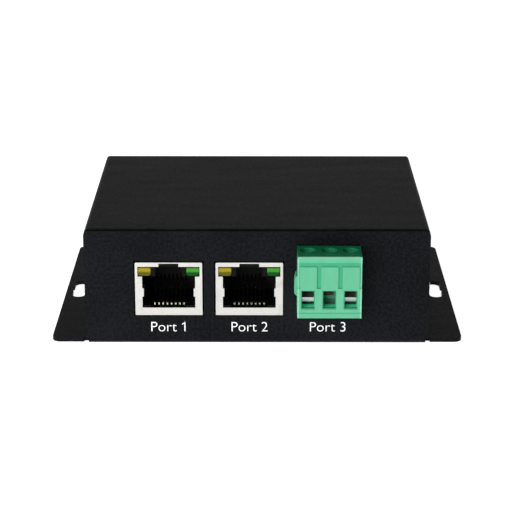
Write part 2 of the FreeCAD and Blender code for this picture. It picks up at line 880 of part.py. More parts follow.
def pole_cutters(x):
    """What one pole takes out of the plug: wire hole, cage pocket, screw well and spring pocket."""
    front = plug_front_y
    half_hole = wire_hole_width / 2
    cage_front = clamp_y - cage_run / 2 - cage_pocket_gap
    cage_back = clamp_y + cage_run / 2 + cage_pocket_gap
    pocket_half = cage_width / 2 + cage_pocket_gap
    well_floor = plug_top - well_depth
    pocket_top = well_floor - shoulder_thickness
    pocket_floor = hole_floor - cage_bar - cage_pocket_gap
    flare = wire_hole_flare
    mouth = Part.makeLoft(
        [
            rectangle(x, half_hole + flare, hole_floor - flare, hole_roof + flare, front),
            rectangle(x, half_hole, hole_floor, hole_roof, front + flare),
        ],
        True,
        True,
    )
    gap = spring_pocket_gap
    strip_half = strip_width / 2 + gap
    drop_back = clamp_y + cage_run / 2 + cage_pocket_gap + strip_drop_run
    leaf_top = pin_z + pin_size / 2 + pin_gap + leaf_thickness
    leaf_low = pin_z - pin_size / 2 - pin_gap - leaf_thickness
    return [
        mouth,
        box((x - half_hole, x + half_hole), (front + flare / 2, cage_front + 0.1), (hole_floor, hole_roof)),
        box((x - pocket_half, x + pocket_half), (cage_front, cage_back), (pocket_floor, pocket_top)),
        post(well_r, x, clamp_y, well_floor, plug_top + 1),
        post(clamp_thread_r + clamp_running_gap, x, clamp_y, pocket_top - 1, well_floor + 1),
        box(
            (x - top_pocket_width / 2, x + top_pocket_width / 2),
            (front + top_pocket_back, front + top_pocket_back + top_pocket_run),
            (plug_top - top_pocket_depth, plug_top + 1),
        ),
        box(
            (x - strip_half, x + strip_half),
            (cage_back - 1, drop_back + gap),
            (leaf_low - gap, strip_top + gap),
        ),
        box(
            (x - strip_half, x + strip_half),
            (drop_back, panel_y + nose_length + 1),
            (leaf_low - gap, leaf_top + gap),
        ),
    ]


def rectangle(x, half, z_low, z_high, y):
    spots = [(-half, z_low), (half, z_low), (half, z_high), (-half, z_high)]
    corners = [vec(x + across, y, z) for across, z in spots]
    return Part.makePolygon(corners + corners[:1])


def plug_springs():
    """A strip through each cage that turns down and ends in two leaves about the header's pin."""
    springs = []
    front = clamp_y - cage_run / 2 + strip_front_gap
    drop_front = clamp_y + cage_run / 2 + cage_pocket_gap
    drop_back = drop_front + strip_drop_run
    end = panel_y + nose_length - leaf_end_gap
    upper_low = pin_z + pin_size / 2 + pin_gap
    lower_high = pin_z - pin_size / 2 - pin_gap
    for x in pole_xs:
        left = x - strip_width / 2
        outline = [
            (front, strip_top),
            (drop_back, strip_top),
            (drop_back, upper_low + leaf_thickness),
            (end, upper_low + leaf_thickness),
            (end, upper_low + leaf_flare),
            (end - leaf_flare, upper_low),
            (drop_back, upper_low),
            (drop_back, lower_high),
            (end - leaf_flare, lower_high),
            (end, lower_high - leaf_flare),
            (end, lower_high - leaf_thickness),
            (drop_front, lower_high - leaf_thickness),
            (drop_front, strip_bottom),
            (front, strip_bottom),
        ]
        points = [vec(left, y, z) for y, z in outline]
        springs.append(extruded(points[0], points[1:], vec(strip_width, 0, 0)))
    return Part.makeCompound(springs)


def clamp_screw(x):
    """A slotted clamp screw: its tip stands just above the contact strip."""
    head_low = plug_top - well_depth + shoulder_gap
    head_high = head_low + clamp_head_height
    head = post(clamp_head_r, x, clamp_y, head_low, head_high)
    top_edges = [edge for edge in head.Edges if abs(edge.CenterOfMass.z - head_high) < 0.001]
    rim = [edge for edge in top_edges if direction(edge) is None]
    head = head.makeChamfer(clamp_head_height * 0.15, rim)
    shank = post(clamp_thread_r, x, clamp_y, strip_top + clamp_running_gap, head_low)
    half = clamp_slot_width / 2
    reach = clamp_head_r + 1
    slot_zs = (head_high - clamp_slot_depth, head_high + 1)
    slot = box((x - reach, x + reach), (clamp_y - half, clamp_y + half), slot_zs)
    return fused([head, shank]).cut(slot)


def clamp_cage(x, rise):
    """A closed loop about the wire space, threaded on its screw, raised from fully open by rise."""
    low = hole_floor - cage_bar
    high = strip_top + clamp_running_gap * 3 + cage_head
    ys = (clamp_y - cage_run / 2, clamp_y + cage_run / 2)
    outside = box((x - cage_width / 2, x + cage_width / 2), ys, (low, high))
    outside = outside.makeFillet(cage_corner_r, edges_along(outside, vec(0, 1, 0), lambda c: True))
    inner_half = cage_width / 2 - cage_wall
    inside_zs = (low + cage_bar, high - cage_head)
    inside = box((x - inner_half, x + inner_half), (ys[0] - 1, ys[1] + 1), inside_zs)
    thread = post(clamp_thread_r + clamp_running_gap, x, clamp_y, high - cage_head - 1, high + 1)
    return moved(outside.cut([inside, thread]), 0, 0, rise)


# Parts on the board

def leaded_chip(size, leads, pitch):
    """A chip along X with bent leads on its two long sides, centred on its foot."""
    length, width, height = size
    body = box((-length / 2, length / 2), (-width / 2, width / 2), (part_lift, height))
    top_edges = [edge for edge in body.Edges if edge.CenterOfMass.z > height - 0.01]
    pieces = [body.makeChamfer(height * chip_edge_share, top_edges)]
    wall = width / 2
    knee = height * lead_knee_share
    bend = wall + lead_reach / 2
    outline = [
        (wall - lead_root, knee),
        (bend - lead_thickness, knee),
        (bend - lead_thickness, 0),
        (wall + lead_reach, 0),
        (wall + lead_reach, lead_thickness),
        (bend, lead_thickness),
        (bend, knee + lead_thickness),
        (wall - lead_root, knee + lead_thickness),
    ]
    for side in (-1, 1):
        for i in range(leads):
            left = pitch * (i - (leads - 1) / 2) - lead_width / 2
            points = [vec(left, side * y, z) for y, z in outline]
            pieces.append(extruded(points[0], points[1:], vec(lead_width, 0, 0)))
    return fused(pieces)


def capacitor(radius, height):
    """An aluminium can with its rims turned over."""
    rim = radius - can_edge
    profile = [(0, 0), (rim, 0), (radius, can_edge), (radius, height - can_edge), (rim, height), (0, height)]
    return revolved(profile)


def transformer_core():
    """Two E-shaped ferrite halves, seen as a frame with a middle leg."""
    half = transformer_length / 2
    low = bobbin_foot
    high = transformer_height
    frame = box((-half, half), (-core_depth / 2, core_depth / 2), (low, high))
    windows = []
    for side in (-1, 1):
        xs = sorted((side * centre_leg / 2, side * (half - core_leg)))
        windows.append(box(xs, (-core_depth, core_depth), (low + core_leg, high - core_leg)))
    return frame.cut(windows)


def bobbin_pin_places():
    y = core_depth / 2 + bobbin_overhang - bobbin_pin_inset
    xs = [bobbin_pin_pitch * (i - (bobbin_pin_count - 1) / 2) for i in range(bobbin_pin_count)]
    return [(x, side * y) for side in (-1, 1) for x in xs]


def transformer_bobbin():
    """The wound spool on the middle leg, with its flanges and a row of pins on each side."""
    half = transformer_length / 2 - core_leg - core_gap
    depth = core_depth / 2 + bobbin_overhang
    low = bobbin_foot + core_leg + core_gap
    high = transformer_height - core_leg - core_gap
    wound = half - winding_inset
    wound_depth = depth - winding_inset
    spool = box((-wound, wound), (-wound_depth, wound_depth), (low, high))
    spool = spool.makeFillet(winding_corner_r, edges_along(spool, vec(0, 0, 1), lambda c: True))
    flanges = [
        box((-half, half), (-depth, depth), (low, low + bobbin_flange)),
        box((-half, half), (-depth, depth), (high - bobbin_flange, high)),
    ]
    pieces = [spool] + flanges
    leg_half = centre_leg / 2 + core_gap
    leg_depth = core_depth / 2 + core_gap
    for side in (-1, 1):
        ys = sorted((side * (leg_depth + core_gap), side * depth))
        pieces.append(box((-half, half), ys, (0, low + core_gap)))
    pin = bobbin_pin_size / 2
    for x, y in bobbin_pin_places():
        zs = (-board_thickness - solder_tail / 2, bobbin_flange)
        pieces.append(box((x - pin, x + pin), (y - pin, y + pin), zs))
    hole = box((-leg_half, leg_half), (-leg_depth, leg_depth), (low - 1, high + 1))
    return fused(pieces).cut(hole)


def output_choke():
    """A drum choke: two flanges, a winding between them and a square foot."""
    waist = choke_r - choke_waist
    profile = [
        (0, choke_foot),
        (choke_r, choke_foot),
        (choke_r, choke_foot + choke_flange),
        (waist, choke_foot + choke_flange),
        (waist, choke_height - choke_flange),
        (choke_r, choke_height - choke_flange),
        (choke_r, choke_height),
        (0, choke_height),
    ]
    foot = box((-choke_r, choke_r), (-choke_r, choke_r), (0, choke_foot))
    return fused([revolved(profile), foot])


def set_on_board(shape, x, y):
    return moved(shape, x, y, board_top)


def set_pair(shape, xs, y):
    return Part.makeCompound([set_on_board(shape, x, y) for x in xs])


parts["base_chassis"] = base_chassis()
parts["top_cover"] = top_cover()
parts["cover_screws"] = cover_screws()
parts["insulating_sheet"] = insulating_sheet()
parts["board_standoffs"] = board_standoffs()
parts["board_screws"] = board_screws()
parts["main_board"] = main_board()
add_jack("jack_in", jack_in_x)
add_jack("jack_out", jack_out_x)
parts["terminal_header"] = terminal_header()
parts["header_pins"] = header_pins()
parts["terminal_plug"] = terminal_plug()
parts["plug_springs"] = plug_springs()
for number, (pole_x, pole_rise) in enumerate(zip(pole_xs, cage_rest_rise), 1):
    parts[f"clamp_screw_{number}"] = clamp_screw(pole_x)
    parts[f"clamp_cage_{number}"] = clamp_cage(pole_x, pole_rise)

magnetics = leaded_chip(magnetics_size, magnetics_lead_count, lead_pitch)
parts["data_magnetics"] = set_pair(magnetics, (jack_in_x, jack_out_x), magnetics_y)
rectifier = leaded_chip(rectifier_size, rectifier_lead_count, rectifier_lead_pitch)
rectifier_xs = (plug_centre_x - rectifier_spacing / 2, plug_centre_x + rectifier_spacing / 2)
parts["bridge_rectifiers"] = set_pair(rectifier, rectifier_xs, rectifier_y)
controller = leaded_chip(controller_size, controller_lead_count, lead_pitch)
parts["controller_chip"] = set_on_board(controller, controller_share * board_half, choke_y)
parts["transformer_core"] = set_on_board(transformer_core(), transformer_x, transformer_y)
parts["transformer_bobbin"] = set_on_board(transformer_bobbin(), transformer_x, transformer_y)
input_can = capacitor(input_can_r, room_above_board - input_can_clearance)
parts["input_capacitor"] = set_on_board(input_can, input_can_share * board_half, can_row_y)
output_can = capacitor(output_can_r, room_above_board - output_can_clearance)
output_can_x = output_can_share * board_half
output_can_xs = (output_can_x - output_can_spacing / 2, output_can_x + output_can_spacing / 2)
parts["output_capacitors"] = set_pair(output_can, output_can_xs, can_row_y)
parts["output_choke"] = set_on_board(output_choke(), choke_share * board_half, choke_y)

os.makedirs("parts", exist_ok=True)
for name, shape in parts.items():
    shape.exportStep(f"parts/{name}.step")
    print(name, len(shape.Solids), round(shape.Volume, 2), shape.isValid())
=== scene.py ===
"""Finishes, labels, small details and the studio for the power splitter's frame."""

import math

import bmesh
import bpy
from bpy.props import FloatProperty, FloatVectorProperty, StringProperty
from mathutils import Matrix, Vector


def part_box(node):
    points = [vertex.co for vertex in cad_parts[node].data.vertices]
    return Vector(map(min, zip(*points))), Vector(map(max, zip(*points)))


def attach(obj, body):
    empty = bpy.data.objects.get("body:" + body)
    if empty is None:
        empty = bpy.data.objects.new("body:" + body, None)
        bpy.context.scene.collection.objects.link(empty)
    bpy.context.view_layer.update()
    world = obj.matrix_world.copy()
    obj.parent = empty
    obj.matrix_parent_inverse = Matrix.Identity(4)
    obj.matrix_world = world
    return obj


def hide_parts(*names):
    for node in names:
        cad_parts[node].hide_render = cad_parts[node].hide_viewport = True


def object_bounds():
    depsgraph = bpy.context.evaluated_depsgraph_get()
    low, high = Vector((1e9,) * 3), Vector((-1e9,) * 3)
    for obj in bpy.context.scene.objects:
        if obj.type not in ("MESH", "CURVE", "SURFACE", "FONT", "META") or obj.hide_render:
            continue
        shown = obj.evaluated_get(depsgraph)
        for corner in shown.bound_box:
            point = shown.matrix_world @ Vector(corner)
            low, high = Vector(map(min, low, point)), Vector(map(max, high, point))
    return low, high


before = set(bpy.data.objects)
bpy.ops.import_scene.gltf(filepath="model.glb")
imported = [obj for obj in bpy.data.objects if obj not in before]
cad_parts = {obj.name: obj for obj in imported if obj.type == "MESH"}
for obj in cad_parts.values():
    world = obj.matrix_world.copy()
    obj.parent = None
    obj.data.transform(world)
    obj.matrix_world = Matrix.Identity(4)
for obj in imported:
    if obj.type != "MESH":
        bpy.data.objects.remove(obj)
cad_low, cad_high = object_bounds()

bl_info = {
    "name": "Power splitter",
    "version": (1, 0, 0),
    "blender": (4, 5, 0),
    "location": "3D View > Sidebar > Splitter",
    "description": "Finishes, labels, small details and a studio for a power splitter",
    "category": "Object",
}

mm = 0.001
chassis_low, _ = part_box("base_chassis")
socket_in_low, socket_in_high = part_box("jack_in_shield")
socket_out_low, socket_out_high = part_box("jack_out_shield")
board_low, board_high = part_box("main_board")
lamp_low, lamp_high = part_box("jack_in_led_yellow")
plug_low, plug_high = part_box("terminal_plug")

panel_y = chassis_low.y
pole_low, pole_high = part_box("clamp_screw_2")
# The plug's ribs stand to one side only, so its middle is that of its middle screw.
plug_middle = (pole_low.x + pole_high.x) / 2
plug_half = plug_high.x - plug_middle


# Sizes and colours

def colour(name, description, default):
    """A colour that a user can change."""
    kind = {"subtype": "COLOR", "size": 3, "min": 0, "max": 1}
    return FloatVectorProperty(name=name, description=description, default=default, **kind)


def length(name, description, default):
    """A length in metres."""
    return FloatProperty(name=name, description=description, default=default, unit="LENGTH", precision=5)


def share(name, description, default):
    """A number from 0 to 1."""
    return FloatProperty(name=name, description=description, default=default, min=0, max=1, subtype="FACTOR")


def angle(name, description, degrees):
    """An angle, given here in degrees."""
    default = math.radians(degrees)
    return FloatProperty(name=name, description=description, default=default, subtype="ANGLE")


def strength(name, description, default, subtype="NONE"):
    """A brightness or a power."""
    return FloatProperty(name=name, description=description, default=default, min=0, subtype=subtype)


class CaseFinish(bpy.types.PropertyGroup):
    paint: colour("Paint", "Powder coat of the folded case", (0.0036, 0.0037, 0.0044))
    grain: length("Grain", "Size of the bumps in the powder coat", 0.45 * mm)
    grain_depth: length("Grain depth", "Height of the bumps in the powder coat", 0.012 * mm)
    gloss: share("Roughness", "Middle roughness of the powder coat", 0.5)
    plating: colour("Plating", "Zinc on the screws and spacers", (0.55, 0.55, 0.56))
    head_radius: length("Head radius", "Radius of a cross-head screw's head", 2.75 * mm)
    head_height: length("Head height", "Height of a cross-head screw's domed head", 1.6 * mm)
    thread_radius: length("Thread radius", "Outer radius of the screws' thread", 1.5 * mm)
    thread_pitch: length("Thread pitch", "Rise of the thread in one turn", 0.5 * mm)
    cover_screw_length: length("Cover screw", "Length of a cover screw below its head", 4.0 * mm)
    board_screw_length: length("Board screw", "Length of a board screw below its head", 4.6 * mm)
    cross_width: length("Cross width", "Width of an arm of the cross in the head", 0.75 * mm)


class SocketFinish(bpy.types.PropertyGroup):
    tin: colour("Tin", "Plate on the socket shields", (0.56, 0.548, 0.52))
    moulding: colour("Moulding", "Black plastic inside the sockets", (0.002, 0.002, 0.0022))
    gold: colour("Gold", "Plating on the contacts", (0.26, 0.23, 0.155))
    yellow: colour("Yellow lamp", "Lit half of the yellow lamp", (0.28, 0.215, 0.010))
    olive: colour("Yellow lamp's foot", "Shaded half of the yellow lamp", (0.085, 0.080, 0.003))
    green: colour("Green lamp", "Lit half of the green lamp", (0.045, 0.24, 0.024))
    pine: colour("Green lamp's foot", "Shaded half of the green lamp", (0.001, 0.060, 0.005))
    lamp_corner: length("Lamp corner", "Radius of a lamp's lower corners", 0.6 * mm)
    lamp_edge: length("Lamp edge", "Radius of the edge around a lamp's front", 0.22 * mm)
    lamp_gap: length("Lamp gap", "Dark gap between a lamp and the shield above it", 0.25 * mm)


class TerminalFinish(bpy.types.PropertyGroup):
    moulding: colour("Moulding", "Green plastic of the plug and header", (0.100, 0.385, 0.228))
    # Painted shade: a darker green for the bottoms of the plug's grooves.
    shade: colour("Shade", "Green at the bottom of the grooves", (0.045, 0.330, 0.170))
    # Painted shade: the plug's top is painted a deeper green because less light falls on it than on the
    # front.
    top_shade: colour("Lid", "Deeper green of the top with the screw wells", (0.006, 0.190, 0.075))
    # Painted light: a bright green inside the wire holes stands in for light reaching their floors.
    hole_light: colour("Mouth", "Clean green inside the wire holes", (0.10, 0.72, 0.44))
    # Painted highlight: this pale green stands for light caught along the front edges.
    edge: colour("Edge", "Pale green of the worn front edges", (0.20, 0.52, 0.34))
    nickel: colour("Nickel", "Plating on the clamps and screws", (0.72, 0.72, 0.74))
    # Painted shade: the springs' near-black colour stands mostly for the shadow deep inside the plug, and
    # partly for real tarnish.
    bronze: colour("Bronze", "Tarnished bronze of the contact springs", (0.055, 0.045, 0.032))


class BoardFinish(bpy.types.PropertyGroup):
    mask: colour("Solder mask", "Green lacquer on the board", (0.006, 0.055, 0.022))
    laminate: colour("Laminate", "Bare edge of the board", (0.09, 0.08, 0.04))
    copper: colour("Copper", "Winding wire", (0.62, 0.27, 0.12))
    solder: colour("Solder", "Solder joints below the board", (0.66, 0.66, 0.68))
    joint_radius: length("Joint radius", "Foot radius of a solder joint", 0.62 * mm)
    joint_height: length("Joint height", "How far a solder joint climbs its pin", 0.75 * mm)


class LabelSizes(bpy.types.PropertyGroup):
    ink: colour("Ink", "White print on the front panel", (0.86, 0.86, 0.86))
    cap_height: length("Capital height", "Height of a capital letter", 2.45 * mm)
    thickness: length("Thickness", "Relief of the print over the paint", 0.03 * mm)
    drop: length("Drop", "From the sockets' foot down to the line that the letters stand on", 4.35 * mm)
    words: StringProperty(
        name="Words",
        description="One plain name for each place, with commas",
        default="Port 1,Port 2,Port 3",
    )


class StudioSizes(bpy.types.PropertyGroup):
    lens: FloatProperty(name="Lens", description="Focal length in millimetres", default=125.67, min=20)
    camera: FloatVectorProperty(
        name="Camera",
        description="Place of the camera",
        subtype="TRANSLATION",
        unit="LENGTH",
        size=3,
        default=(0.0011, -0.4454, 0.1575),
    )
    pitch: angle("Pitch", "How far the camera looks down", 18.28)
    yaw: angle("Yaw", "How far the camera looks to the left", 0.187)
    floor: length("Floor", "Side of the floor", 8.0)
    floor_glow: strength("Floor glow", "Light that the floor gives off", 0.9)
    key: strength("Key light", "Power of the soft light beside the camera", 12.0, "POWER")
    fill: strength("Fill light", "Power of the soft light overhead", 0.3, "POWER")
    rear: strength("Rear light", "Power of the low soft light behind", 0.8, "POWER")
    room: strength("Room", "Brightness of the room around", 0.14)


# Shader maths

class Wire:
    """An output of a node. Signs of arithmetic on it add Math nodes."""

    def __init__(self, recipe, socket):
        self.recipe = recipe
        self.socket = socket

    def __add__(self, other):
        return self.recipe.maths("ADD", self, other)

    def __sub__(self, other):
        return self.recipe.maths("SUBTRACT", self, other)

    def __mul__(self, other):
        return self.recipe.maths("MULTIPLY", self, other)

    def __truediv__(self, other):
        return self.recipe.maths("DIVIDE", self, other)

    def __gt__(self, other):
        return self.recipe.maths("GREATER_THAN", self, other)

    def __lt__(self, other):
        return self.recipe.maths("LESS_THAN", self, other)

    def __rsub__(self, other):
        return self.recipe.maths("SUBTRACT", other, self)

    def __abs__(self):
        return self.recipe.maths("ABSOLUTE", self)

    __radd__ = __add__
    __rmul__ = __mul__


class Nodes:
    """A node tree, filled by expressions and by one method for every other node."""

    def placed(self, kind, settings, inputs):
        """Adds a node: its settings first, then its sockets, by name or number."""
        made = self.tree.nodes.new(kind)
        for key, value in settings.items():
            setattr(made, key, value)
        for key, value in inputs.items():
            self.feed(made.inputs[key], value)
        return made

    def node(self, kind, settings, inputs, output=0):
        """One output of a new node."""
        return Wire(self, self.placed(kind, settings, inputs).outputs[output])

    def feed(self, socket, value):
        """Links a wire to a socket, or sets the socket to a value."""
        if isinstance(value, Wire):
            self.tree.links.new(value.socket, socket)
        else:
            socket.default_value = value

    def maths(self, sign, a, b=0.0):
        """A sum, a comparison or a function of one or two numbers."""
        return self.node("ShaderNodeMath", {"operation": sign}, {0: a, 1: b})

    def parts(self, vector):
        """The three numbers of a vector."""
        split = self.placed("ShaderNodeSeparateXYZ", {}, {0: vector})
        return [Wire(self, out) for out in split.outputs]


class Recipe(Nodes):
    """A material's nodes."""

    def __init__(self, name):
        self.material = bpy.data.materials.new(name)
        self.material.use_nodes = True
        self.tree = self.material.node_tree
        self.shader = self.tree.nodes["Principled BSDF"]
        self.place = self.node("ShaderNodeTexCoord", {}, {}, "Object")

    def clamped(self, value):
        """A value held between 0 and 1."""
        return self.node("ShaderNodeClamp", {}, {"Value": value})

    def smooth(self, value, low, high):
        """0 below low, 1 above high and a soft step between. With low above high, the other way round."""
        inputs = {"Value": value, "From Min": low, "From Max": high}
        return self.node("ShaderNodeMapRange", {"interpolation_type": "SMOOTHSTEP"}, inputs)

    def mixed(self, share, first, second):
        """A blend of two colours."""
        inputs = {0: share, 6: opaque(first), 7: opaque(second)}
        return self.node("ShaderNodeMix", {"data_type": "RGBA"}, inputs, 2)

    def axes(self):
        """The three lengths of a point's place, in metres."""
        return self.parts(self.place)

    def wave(self, along, turn):
        """A sine wave along a length, one wave in each turn."""
        return self.maths("SINE", along * (2 * math.pi / turn))

    def stretched(self, along):
        """The place, scaled by three numbers, for streaks and brush marks."""
        return self.node("ShaderNodeMapping", {}, {"Vector": self.place, "Scale": along})

    def noise(self, size, detail=2.0, place=None):
        """Soft noise with features of a size in metres."""
        inputs = {"Vector": place or self.place, "Scale": 1 / size, "Detail": detail}
        return self.node("ShaderNodeTexNoise", {}, inputs, "Fac")

    def cells(self, size):
        """Distance to the nearest of scattered points a size apart."""
        return self.node("ShaderNodeTexVoronoi", {}, {"Vector": self.place, "Scale": 1 / size}, "Distance")

    def bump(self, height, depth, before=None):
        """A normal with relief of a depth in metres, over another relief if one is given."""
        inputs = {"Height": height, "Distance": depth, "Strength": 1.0}
        if before is not None:
            inputs["Normal"] = before
        return self.node("ShaderNodeBump", {}, inputs, "Normal")

    def finish(self, base, roughness, metallic=0.0, normal=None, **constants):
        """Sets the shader's sockets and returns the material."""
        self.feed(self.shader.inputs["Base Color"], opaque(base))
        self.feed(self.shader.inputs["Roughness"], roughness)
        self.feed(self.shader.inputs["Metallic"], metallic)
        if normal is not None:
            self.feed(self.shader.inputs["Normal"], normal)
        for key, value in constants.items():
            self.shader.inputs[key.replace("_", " ")].default_value = value
        return self.material


def opaque(value):
    """A plain colour with its alpha, or a wire as it is."""
    return value if isinstance(value, Wire) else tuple(value) + (1.0,)


def scaled(base, factor):
    """A lighter or darker colour."""
    return tuple(channel * factor for channel in base)


# Finishes

bright_metal = (0.75, 0.75, 0.76)
dark_ferrite = (0.022, 0.021, 0.022)


def powder_coat(sizes):
    """Black satin powder coat: fine bumps, a cloudy gloss and a few specks of dust."""
    recipe = Recipe("powder_coat")
    grain = recipe.noise(sizes.grain, 3.0)
    cloud = recipe.noise(14 * mm, 3.0)
    rub = recipe.noise(5 * mm, 4.0, recipe.stretched((0.25, 1.0, 1.0)))
    specks = recipe.smooth(recipe.cells(2.4 * mm), 0.055, 0.035)
    sand = recipe.noise(0.7 * mm, 4.0)
    patches = recipe.smooth(0.7 * sand + 0.3 * cloud, 0.4, 0.6)
    coat = recipe.mixed(patches, scaled(sizes.paint, 0.45), scaled(sizes.paint, 1.7))
    dust = specks * 0.5 * recipe.smooth(rub, 0.52, 0.62)
    base = recipe.mixed(dust, coat, (0.10, 0.10, 0.10))
    roughness = recipe.clamped(sizes.gloss - 0.05 + 0.1 * (rub - 0.5) + 0.1 * grain + 0.3 * (sand - 0.5))
    normal = recipe.bump(grain, sizes.grain_depth)
    cool = (0.84, 0.89, 1.0, 1.0)
    return recipe.finish(base, roughness, normal=normal, Specular_IOR_Level=0.07, Specular_Tint=cool)


def zinc_plate(name, base):
    """Zinc or nickel plate with fine scratches and a faint bloom."""
    recipe = Recipe(name)
    bloom = recipe.noise(1.6 * mm, 3.0)
    scratch = recipe.noise(0.25 * mm, 2.0, recipe.stretched((0.08, 1.0, 1.0)))
    tint = recipe.mixed(bloom, scaled(base, 0.86), base)
    roughness = recipe.clamped(0.2 + 0.16 * bloom + 0.1 * scratch)
    normal = recipe.bump(scratch, 0.004 * mm)
    return recipe.finish(tint, roughness, 1.0, normal)


def tin_plate(sizes):
    """Rolled tin plate: lengthwise roll marks, small dents and finger smudges."""
    recipe = Recipe("tin_plate")
    rolled = recipe.noise(0.35 * mm, 2.0, recipe.stretched((0.1, 0.1, 1.0)))
    dents = recipe.noise(4.0 * mm, 1.0)
    smudge = recipe.smooth(recipe.noise(3.0 * mm, 4.0), 0.45, 0.7)
    base = recipe.mixed(smudge, sizes.tin, scaled(sizes.tin, 0.88))
    roughness = recipe.clamped(0.3 + 0.12 * smudge + 0.08 * rolled)
    normal = recipe.bump(rolled, 0.003 * mm, recipe.bump(dents, 0.05 * mm))
    return recipe.finish(base, roughness, 1.0, normal)


def black_moulding(sizes):
    """Black moulded plastic with a spark-worn texture."""
    recipe = Recipe("socket_moulding")
    spark = recipe.noise(0.18 * mm, 3.0)
    flow = recipe.noise(4.0 * mm, 2.0)
    base = recipe.mixed(flow, scaled(sizes.moulding, 0.8), scaled(sizes.moulding, 1.3))
    roughness = recipe.clamped(0.42 + 0.16 * spark)
    normal = recipe.bump(spark, 0.006 * mm)
    return recipe.finish(base, roughness, normal=normal, Specular_IOR_Level=0.07)


def gold_plate(sizes):
    """Thin gold over nickel, worn pale where a plug rubs."""
    recipe = Recipe("gold_plate")
    _, _, z = recipe.axes()
    rub = recipe.smooth(z, board_high.z + 3.0 * mm, board_high.z + 5.0 * mm)
    streak = recipe.noise(0.2 * mm, 2.0, recipe.stretched((1.0, 0.1, 1.0)))
    base = recipe.mixed(rub * streak, sizes.gold, (0.6, 0.58, 0.52))
    return recipe.finish(base, recipe.clamped(0.16 + 0.2 * streak), 1.0, recipe.bump(streak, 0.002 * mm))


def lamp_resin(name, lit, shaded):
    """Tinted clear resin: the upper half catches the light, and the lower half is in shade."""
    recipe = Recipe(name)
    _, _, z = recipe.axes()
    middle = (lamp_low.z + lamp_high.z) / 2
    swirl = recipe.noise(0.8 * mm, 2.0)
    upper = recipe.smooth(z + (swirl - 0.5) * 0.3 * mm, middle - 0.35 * mm, middle + 0.15 * mm)
    base = recipe.mixed(upper, shaded, lit)
    normal = recipe.bump(swirl, 0.01 * mm)
    return recipe.finish(base, recipe.clamped(0.16 + 0.1 * swirl), normal=normal, Specular_IOR_Level=0.1)


def green_moulding(sizes):
    """Green nylon: a satin grain and faint flow clouds, painted shade in the grooves and on the top, painted
    light inside the wire holes and painted highlights along the front edges.
    """
    recipe = Recipe("green_moulding")
    x, y, z = recipe.axes()
    depth = y - plug_low.y
    drop = plug_high.z - z
    height = z - plug_low.z
    inset = plug_half - abs(x - plug_middle)
    # Painted highlight: the worn mask paints pale green along the top and side front edges.
    edge_start, edge_end = 0.42 * mm, 0.3 * mm
    front = recipe.smooth(depth, 0.4 * mm, 0.25 * mm)
    rim = recipe.smooth(inset, edge_start, edge_end)
    brow = recipe.smooth(drop, edge_start, edge_end)
    worn = recipe.clamped(rim + brow) * front
    # Painted shade: the grooves just behind the front face get the darker shade green.
    groove_end = 1.2 * mm
    grooved = recipe.smooth(depth, 0.12 * mm, 0.3 * mm) * (depth < groove_end)
    # Painted shade: the top with its screw wells is painted the deeper top green.
    above = recipe.smooth(drop, 2.4 * mm, 0.3 * mm) * (depth > 0.35 * mm)
    # Painted light: the insides of the wire holes get the bright green.
    inward = (depth > groove_end) * (depth < 7 * mm) * (inset > 0.6 * mm)
    hollow = inward * (height < 7 * mm) * (height > 1 * mm)
    grain = recipe.noise(0.16 * mm, 3.0)
    flow = recipe.noise(2.6 * mm, 3.0, recipe.stretched((1.0, 1.0, 0.35)))
    plain = recipe.mixed(flow, scaled(sizes.moulding, 0.9), scaled(sizes.moulding, 1.12))
    groove_shaded = recipe.mixed(grooved, plain, sizes.shade)
    top_shaded = recipe.mixed(above, recipe.mixed(hollow, groove_shaded, sizes.hole_light), sizes.top_shade)
    base = recipe.mixed(worn, top_shaded, sizes.edge)
    roughness = recipe.clamped(0.42 + 0.14 * grain + 0.08 * (flow - 0.5))
    normal = recipe.bump(grain, 0.006 * mm)
    return recipe.finish(base, roughness, normal=normal, Specular_IOR_Level=0.12)


def solder_mask(sizes):
    """Lacquered board: glass weave below the lacquer, traces in relief and bare edges."""
    recipe = Recipe("solder_mask")
    x, y, z = recipe.axes()
    strand = 0.55 * mm
    weave = recipe.wave(x, strand) * recipe.wave(y, strand)
    layout = {"Vector": recipe.place, "Scale": 180.0, "Mortar Size": 0.035}
    traces = recipe.node("ShaderNodeTexBrick", {}, layout, "Fac")
    lacquer_skin = 0.04 * mm
    bare = (z > board_low.z + lacquer_skin) * (z < board_high.z - lacquer_skin)
    lacquer = recipe.mixed(traces, sizes.mask, scaled(sizes.mask, 1.9))
    base = recipe.mixed(bare, lacquer, sizes.laminate)
    roughness = recipe.clamped(0.24 + 0.05 * weave + 0.4 * bare)
    normal = recipe.bump(traces * 0.6 + weave * 0.08, 0.02 * mm)
    return recipe.finish(base, roughness, normal=normal)


def polyester_film():
    """Thin black film with rolled-in ripples and a little dust."""
    recipe = Recipe("polyester_film")
    ripple = recipe.noise(9 * mm, 2.0)
    dust = recipe.smooth(recipe.cells(1.6 * mm), 0.05, 0.03)
    base = recipe.mixed(dust * 0.4, (0.02, 0.02, 0.022), (0.3, 0.3, 0.3))
    return recipe.finish(base, recipe.clamped(0.22 + 0.15 * ripple), normal=recipe.bump(ripple, 0.1 * mm))


def chip_body(node, reach):
    """Black moulding compound between bright tinned leads, which stand past its long sides."""
    recipe = Recipe(node + "_body")
    low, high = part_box(node)
    _, y, _ = recipe.axes()
    half = (high.y - low.y) / 2 - reach
    lead = abs(y - (low.y + high.y) / 2) > half
    pits = recipe.noise(0.12 * mm, 3.0)
    compound = recipe.mixed(pits, (0.012, 0.012, 0.013), (0.03, 0.03, 0.032))
    base = recipe.mixed(lead, compound, bright_metal)
    roughness = recipe.clamped(0.55 * (1 - lead) + 0.3 * lead + 0.1 * pits)
    return recipe.finish(base, roughness, lead, recipe.bump(pits, 0.006 * mm))


